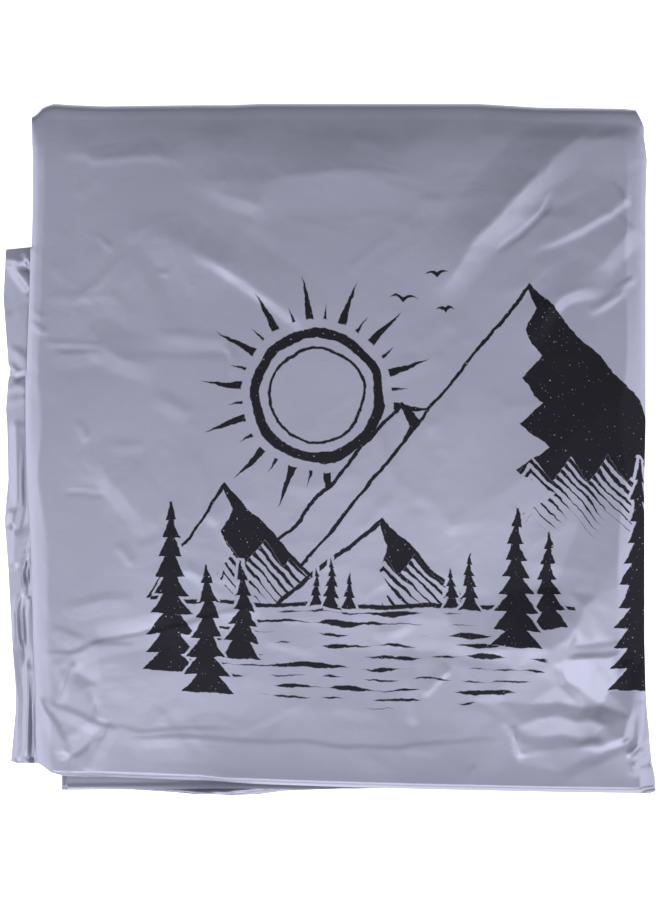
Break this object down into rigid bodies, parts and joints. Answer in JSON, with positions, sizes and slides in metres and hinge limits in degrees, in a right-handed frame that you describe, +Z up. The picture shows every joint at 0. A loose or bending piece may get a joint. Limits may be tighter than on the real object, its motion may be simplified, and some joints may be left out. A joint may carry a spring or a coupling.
{
  "type": "folded bicycle cover",
  "caption": "Thin silver-grey plastic film cover for a bicycle, folded flat into a rectangular packet with its free ends out at one side.",
  "frame": {"origin": "on the surface that it lies on, under the middle of its box", "axes": "+Z up, +Y towards the fold across the packet, +X towards the side with no free ends"},
  "size_m": [0.5275, 0.5597, 0.024],
  "materials": {
    "film": "satin"
  },
  "bodies": {
    "root": {"cover": "film"}
  },
  "joints": []
}
